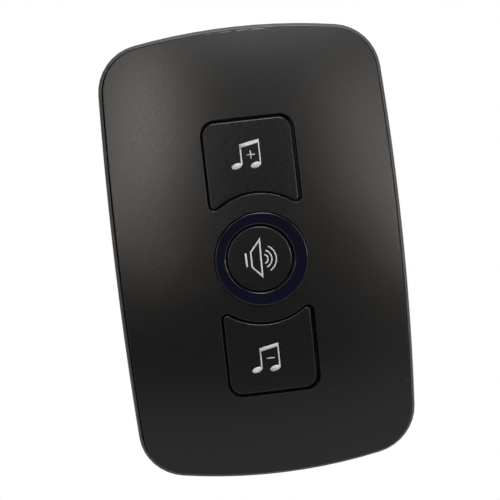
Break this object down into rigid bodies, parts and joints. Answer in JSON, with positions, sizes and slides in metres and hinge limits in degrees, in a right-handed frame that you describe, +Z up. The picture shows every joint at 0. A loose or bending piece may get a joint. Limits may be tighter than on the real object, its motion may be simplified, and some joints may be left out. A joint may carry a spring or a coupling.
{
  "type": "wireless doorbell",
  "caption": "Plug-in chime receiver of a wireless doorbell: domed black case with a round volume button in a light ring and curved tune buttons above and below.",
  "frame": {"origin": "midway between the plug pins, on the end face of the plug's boss, where it meets the socket", "axes": "+Z up the face, +X to the right as seen by the user, +Y along the pins into the wall, so the face looks along -Y"},
  "size_m": [0.06, 0.0633, 0.0944],
  "materials": {
    "black_satin": "fine-grained satin",
    "black_moulding": "fine-grained satin",
    "black_cap": "satin",
    "blue_lens": "glossy, tinted clear",
    "zinc_screw": "zinc plated",
    "plated_pin": "nickel plated",
    "sleeve": "moulded",
    "brown_lead": "PVC",
    "blue_lead": "PVC",
    "red_lead": "PVC",
    "black_lead": "PVC",
    "switch_base": "moulded",
    "steel": "pressed sheet",
    "board": "solder mask on glass laminate",
    "led": "moulded",
    "copper": "enamelled copper wire",
    "chip": "moulded",
    "film_box": "moulded box",
    "can_sleeve": "shrunk sleeve on an aluminium can",
    "resistor": "lacquered",
    "foam": "closed-cell foam",
    "magnet": "sintered",
    "cone": "pressed film",
    "surround": "moulded film"
  },
  "bodies": {
    "case": {"front_cover": "black_satin", "rear_housing": "black_moulding", "plug_carrier": "black_moulding", "light_ring": "blue_lens", "case_screws": "zinc_screw", "plug_screws": "zinc_screw", "board_screws": "zinc_screw", "speaker_screws": "zinc_screw", "live_pin": "plated_pin", "neutral_pin": "plated_pin", "live_sleeve": "sleeve", "neutral_sleeve": "sleeve", "live_lead": "brown_lead", "neutral_lead": "blue_lead", "speaker_lead_1": "red_lead", "speaker_lead_2": "black_lead", "volume_switch": "switch_base", "next_tune_switch": "switch_base", "previous_tune_switch": "switch_base", "volume_switch_cover": "steel", "next_tune_switch_cover": "steel", "previous_tune_switch_cover": "steel", "main_board": "board", "receiver_module": "board", "indicator_led_1": "led", "indicator_led_2": "led", "indicator_led_3": "led", "indicator_led_4": "led", "antenna_coil": "copper", "sound_chip": "chip", "bridge_rectifier": "chip", "film_capacitor": "film_box", "filter_capacitor": "can_sleeve", "fuse_resistor": "resistor", "speaker_gasket": "foam", "speaker_frame": "steel", "speaker_pot": "steel", "speaker_pole": "steel", "speaker_magnet": "magnet", "speaker_surround": "surround"},
    "volume_button": {"volume_button": "black_cap", "volume_plunger": "switch_base"},
    "next_tune_button": {"next_tune_button": "black_cap", "next_tune_plunger": "switch_base"},
    "previous_tune_button": {"previous_tune_button": "black_cap", "previous_tune_plunger": "switch_base"},
    "diaphragm": {"speaker_cone": "cone", "voice_coil": "copper"}
  },
  "joints": [
    {"name": "volume_press", "type": "slide", "parent": "case", "child": "volume_button", "axis": [0, 1, 0], "range_m": [0, 0.0003], "stiffness_N_per_m": 4000},
    {"name": "next_tune_press", "type": "slide", "parent": "case", "child": "next_tune_button", "axis": [0, 1, 0], "range_m": [0, 0.0003], "stiffness_N_per_m": 4000},
    {"name": "previous_tune_press", "type": "slide", "parent": "case", "child": "previous_tune_button", "axis": [0, 1, 0], "range_m": [0, 0.0003], "stiffness_N_per_m": 4000},
    {"name": "diaphragm_stroke", "type": "slide", "parent": "case", "child": "diaphragm", "axis": [0, 1, 0], "range_m": [-0.0004, 0.0004], "stiffness_N_per_m": 600, "deforming": ["speaker_surround"]}
  ]
}
